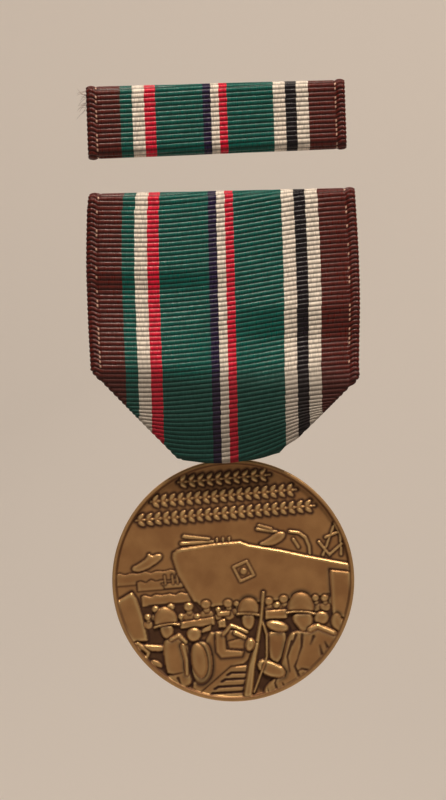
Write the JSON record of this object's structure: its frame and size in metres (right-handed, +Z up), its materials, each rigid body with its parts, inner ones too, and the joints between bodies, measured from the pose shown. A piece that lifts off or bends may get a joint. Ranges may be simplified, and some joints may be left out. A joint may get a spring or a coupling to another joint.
{
  "type": "military service medal",
  "caption": "Struck bronze disc hanging by a lug and ring from a striped, pointed ribbon on a pin brooch, with its matching ribbon bar.",
  "frame": {"origin": "middle of the brooch pin's axis, where the medal is held on a garment", "axes": "+Z up as worn, -Y out of the front, +Y towards the wearer, +X to the right of someone who looks at it"},
  "size_m": [0.035, 0.0069, 0.0812],
  "materials": {
    "ribbon_cloth": "ribbed grosgrain ribbon, striped in the weave",
    "antique_bronze": "struck bronze, darkened and relieved on the high points",
    "bronze_wire": "drawn bronze wire, lightly toned",
    "stamped_brass": "stamped sheet brass, satin",
    "plated_steel": "bright nickel plate on spring wire"
  },
  "bodies": {
    "brooch": {"brooch_plate": "stamped_brass", "hinge_bracket": "stamped_brass", "hinge_rivet": "plated_steel", "catch_base": "stamped_brass", "drape_ribbon": "ribbon_cloth"},
    "pin": {"pin_stem": "plated_steel"},
    "catch": {"catch_sleeve": "stamped_brass"},
    "ring": {"suspension_ring": "bronze_wire"},
    "medal": {"planchet": "antique_bronze", "suspension_lug": "antique_bronze"},
    "ribbon_bar": {"ribbon_bar_ribbon": "ribbon_cloth", "ribbon_bar_channel": "stamped_brass"}
  },
  "joints": [
    {"name": "ring_swing", "type": "hinge", "parent": "brooch", "child": "ring", "pos_m": [-0.0009, -0.0018, -0.01765], "axis": [1, 0, 0], "range_deg": [0, 45]},
    {"name": "medal_swing", "type": "hinge", "parent": "ring", "child": "medal", "pos_m": [-0.00063, -0.0018, -0.02615], "axis": [0.9981, 0, 0.061], "range_deg": [-5, 90]},
    {"name": "pin_swing", "type": "hinge", "parent": "brooch", "child": "pin", "pos_m": [-0.0143, 0, 0], "axis": [0, 0, 1], "range_deg": [0, 110]},
    {"name": "catch_turn", "type": "hinge", "parent": "brooch", "child": "catch", "pos_m": [0.0125, 0, 0], "axis": [-1, 0, 0], "range_deg": [0, 120]},
    {"name": "ribbon_bar_lift", "type": "slide", "parent": "brooch", "child": "ribbon_bar", "axis": [0, -1, 0], "range_m": [0, 0.03]}
  ]
}
